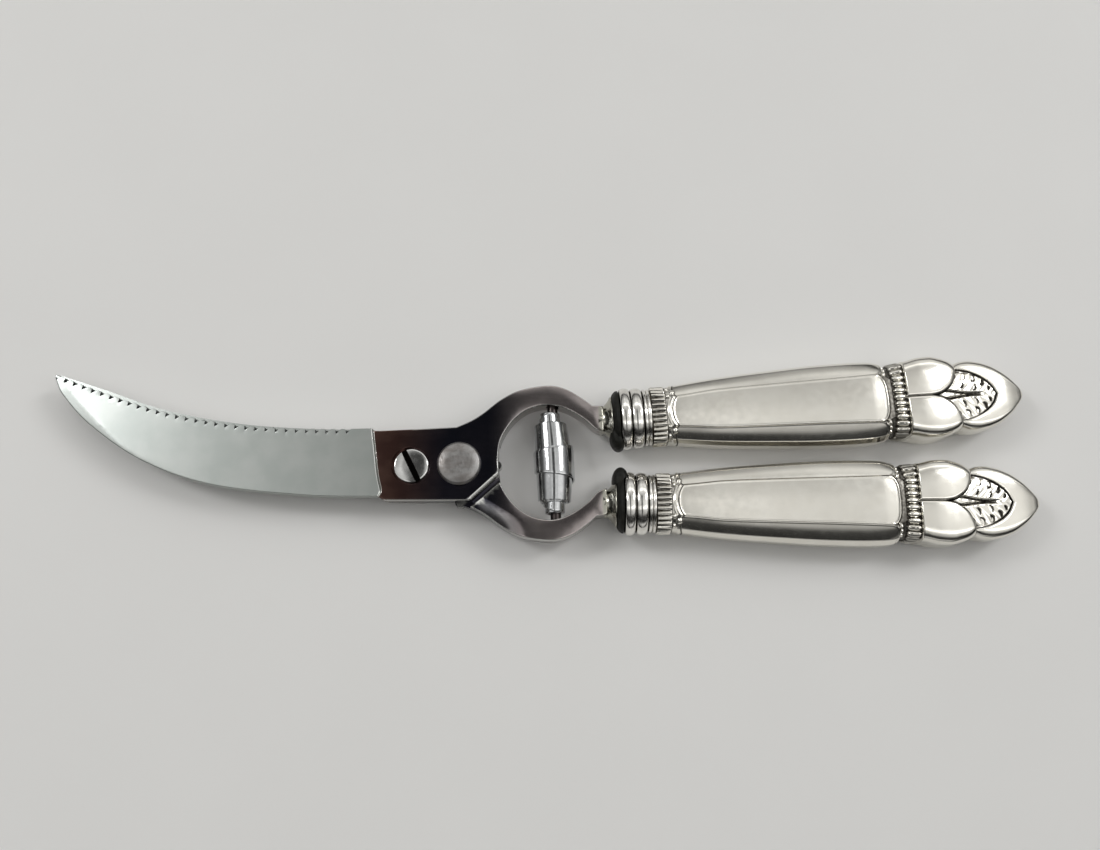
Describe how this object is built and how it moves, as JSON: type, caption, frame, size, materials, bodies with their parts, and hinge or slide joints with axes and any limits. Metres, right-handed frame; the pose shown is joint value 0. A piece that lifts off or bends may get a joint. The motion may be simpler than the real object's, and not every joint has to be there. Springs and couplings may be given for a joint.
{
  "type": "poultry shears",
  "caption": "Poultry shears with curved steel blades, one serrated, a slotted pivot screw, a lock button, a volute spring and ornate hollow handles.",
  "frame": {"origin": "on the pivot axis, at the back end of the pivot screw, which is flush with the pivot nut", "axes": "+X from the pivot towards the handles, midway between them; +Y towards the side that the blades curve to; +Z out of the screw's slotted head"},
  "size_m": [0.2764, 0.0573, 0.0138],
  "materials": {
    "blade_steel": "bright polish with a satin sheen, darker on the joint",
    "polished_steel": "polished",
    "worn_steel": "dull, worn and lightly scratched",
    "spring_steel": "mirror polish",
    "silver": "polished silver with dark tarnish in the recesses",
    "black_rubber": "matte",
    "cement": "dull, never seen"
  },
  "bodies": {
    "plain_half": {"plain_blade": "blade_steel", "pivot_screw": "polished_steel", "pivot_nut": "polished_steel", "volute_spring": "spring_steel", "lower_spring_stud": "polished_steel", "lower_handle_front_shell": "silver", "lower_handle_back_shell": "silver", "lower_handle_filler": "cement", "lower_ferrule": "silver", "lower_buffer_ring": "black_rubber"},
    "serrated_half": {"serrated_blade": "blade_steel", "lock_detent_ring": "polished_steel", "upper_spring_stud": "polished_steel", "upper_handle_front_shell": "silver", "upper_handle_back_shell": "silver", "upper_handle_filler": "cement", "upper_ferrule": "silver", "upper_buffer_ring": "black_rubber"},
    "lock_button": {"lock_button": "worn_steel", "lock_button_cap": "worn_steel"}
  },
  "joints": [
    {"name": "pivot", "type": "hinge", "parent": "plain_half", "child": "serrated_half", "pos_m": [0, 0, 0], "axis": [0, 0, 1], "range_deg": [0, 25], "stiffness_Nm_per_rad": 1.5, "springref_deg": 48.7, "deforming": ["volute_spring"]},
    {"name": "lock_button_slide", "type": "slide", "parent": "serrated_half", "child": "lock_button", "axis": [0, 0, 1], "range_m": [0, 0.002]}
  ]
}
